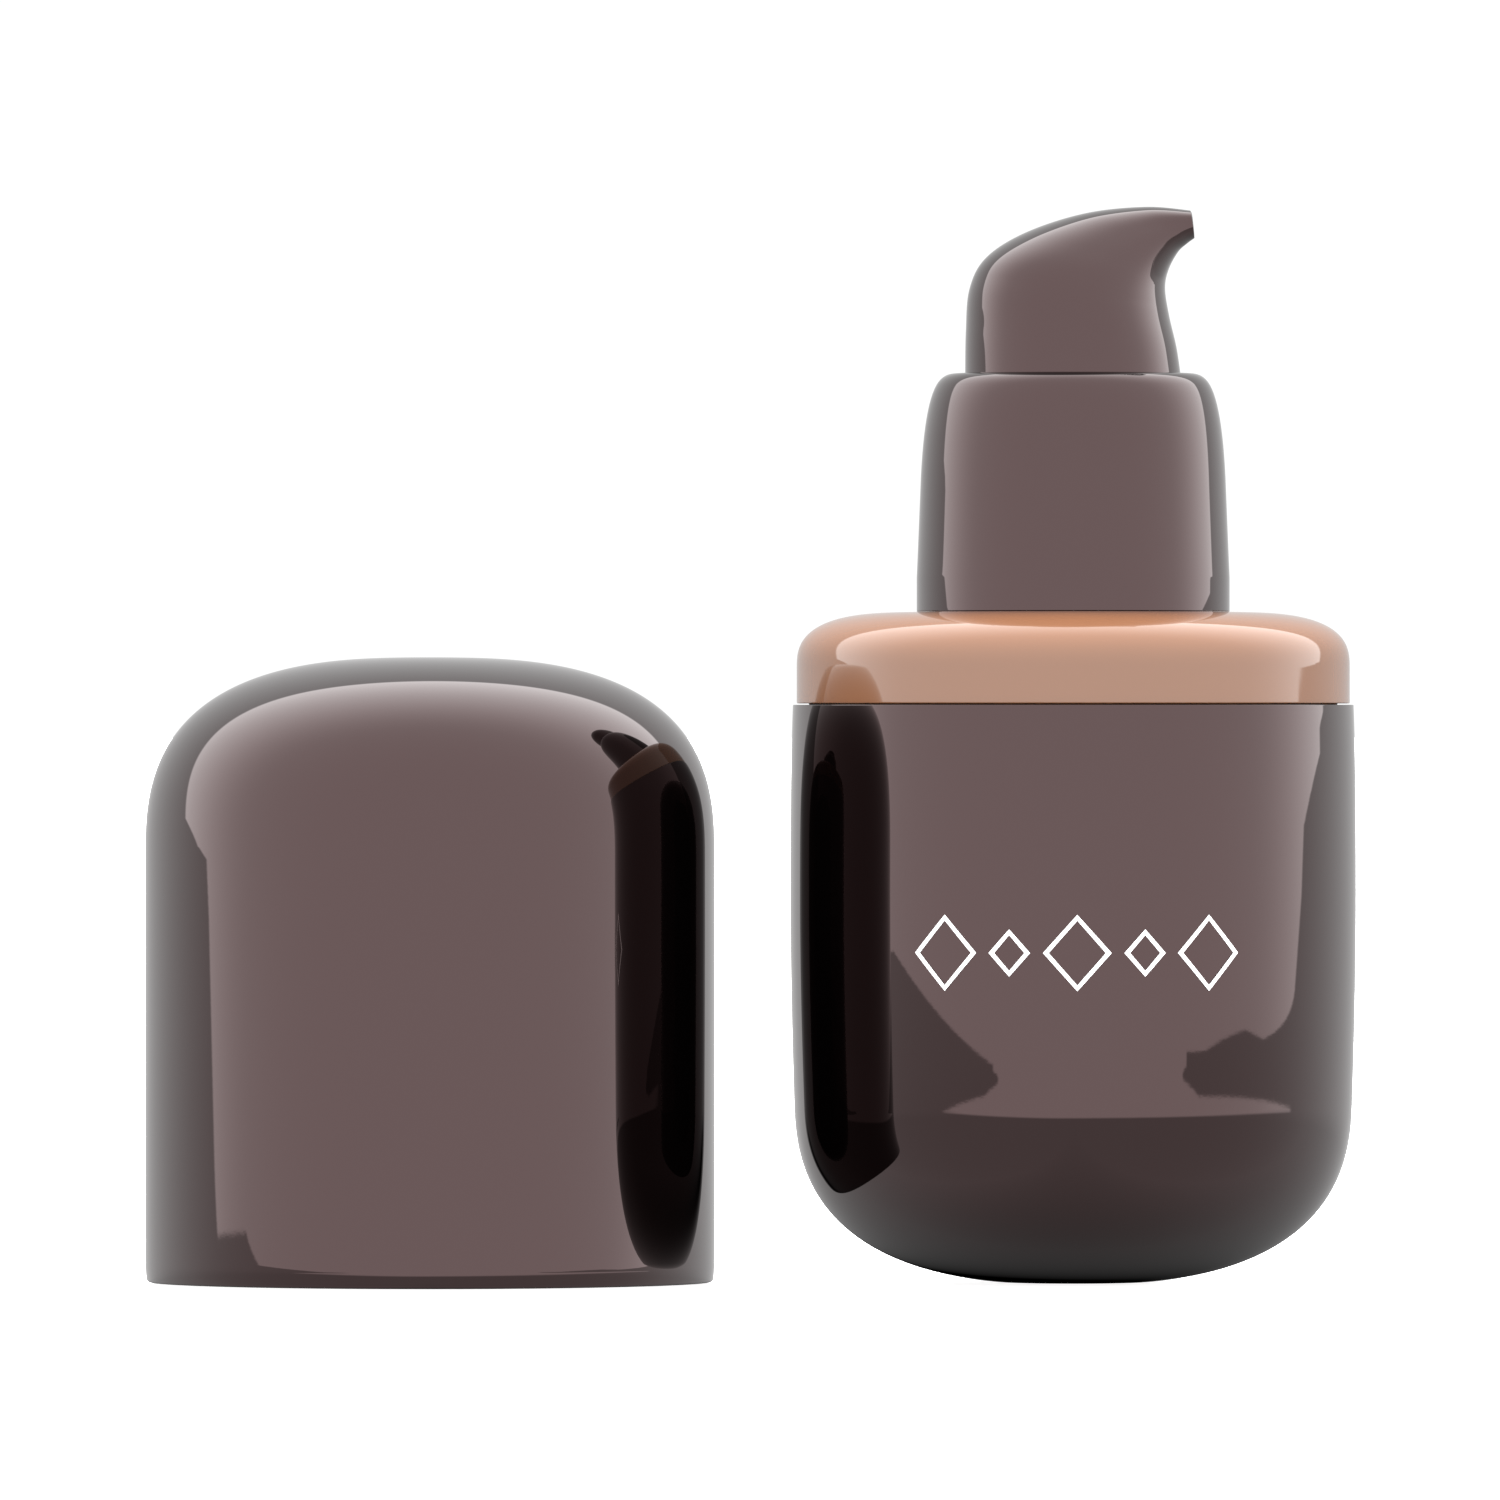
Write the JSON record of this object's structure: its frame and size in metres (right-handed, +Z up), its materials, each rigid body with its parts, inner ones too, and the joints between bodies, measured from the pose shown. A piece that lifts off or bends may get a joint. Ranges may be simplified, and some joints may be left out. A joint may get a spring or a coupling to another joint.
{
  "type": "foundation bottle",
  "caption": "Round double-walled cosmetic pump bottle with a coloured shoulder, a beaked press-down head and a domed overcap standing beside it.",
  "frame": {"origin": "centre of the bottle's flat base, on the bottle's axis, on the surface it stands on", "axes": "+Z up along the bottle's axis, +X the way the nozzle points and away from the standing overcap, +Y away from the side the front of the bottle faces"},
  "size_m": [0.0963, 0.0452, 0.0855],
  "materials": {
    "brown_gloss": "very glossy dark brown injection moulding",
    "shade_gloss": "glossy skin-tone plastic in the colour of the shade",
    "natural_plastic": "uncoloured moulded polypropylene",
    "seal_white": "soft white sealing elastomer",
    "tube_clear": "milky extruded polyethylene",
    "spring_steel": "drawn stainless spring wire",
    "glass_ball": "polished glass valve ball"
  },
  "bodies": {
    "bottle": {"outer_shell": "brown_gloss", "inner_bottle": "natural_plastic", "shoulder_ring": "shade_gloss"},
    "pump": {"pump_housing": "natural_plastic", "neck_gasket": "seal_white", "dip_tube": "tube_clear", "ball_cage": "natural_plastic", "chaplet": "natural_plastic", "return_spring": "spring_steel"},
    "closure": {"screw_closure": "natural_plastic", "collar_sleeve": "brown_gloss"},
    "plunger": {"stem": "natural_plastic", "piston_rod": "natural_plastic"},
    "piston": {"piston": "seal_white"},
    "head": {"actuator": "brown_gloss"},
    "ball": {"ball_valve": "glass_ball"},
    "cap": {"cap_shell": "brown_gloss", "cap_liner": "natural_plastic"}
  },
  "joints": [
    {"name": "cap_lift", "type": "slide", "parent": "bottle", "child": "cap", "axis": [0, 0, 1], "range_m": [0, 0.09]},
    {"name": "pump_rise", "type": "slide", "parent": "bottle", "child": "pump", "axis": [0, 0, 1], "range_m": [0, 0.00397]},
    {"name": "closure_turn", "type": "hinge", "parent": "pump", "child": "closure", "pos_m": [0, 0, 0.06], "axis": [0, 0, 1], "range_deg": [0, 450]},
    {"name": "actuator_press", "type": "slide", "parent": "pump", "child": "plunger", "axis": [0, 0, -1], "range_m": [0, 0.0045], "stiffness_N_per_m": 1500, "springref_m": -0.004, "deforming": ["return_spring"]},
    {"name": "actuator_swivel", "type": "hinge", "parent": "plunger", "child": "head", "pos_m": [0, 0, 0.075], "axis": [0, 0, 1], "continuous": true},
    {"name": "piston_lag", "type": "slide", "parent": "plunger", "child": "piston", "axis": [0, 0, 1], "range_m": [0, 0.0006]},
    {"name": "ball_lift", "type": "slide", "parent": "pump", "child": "ball", "axis": [0, 0, 1], "range_m": [0, 0.001]}
  ],
  "couplings": [
    {"joint": "closure_turn", "follows": "pump_rise", "rad_per_m": 1978.9}
  ]
}
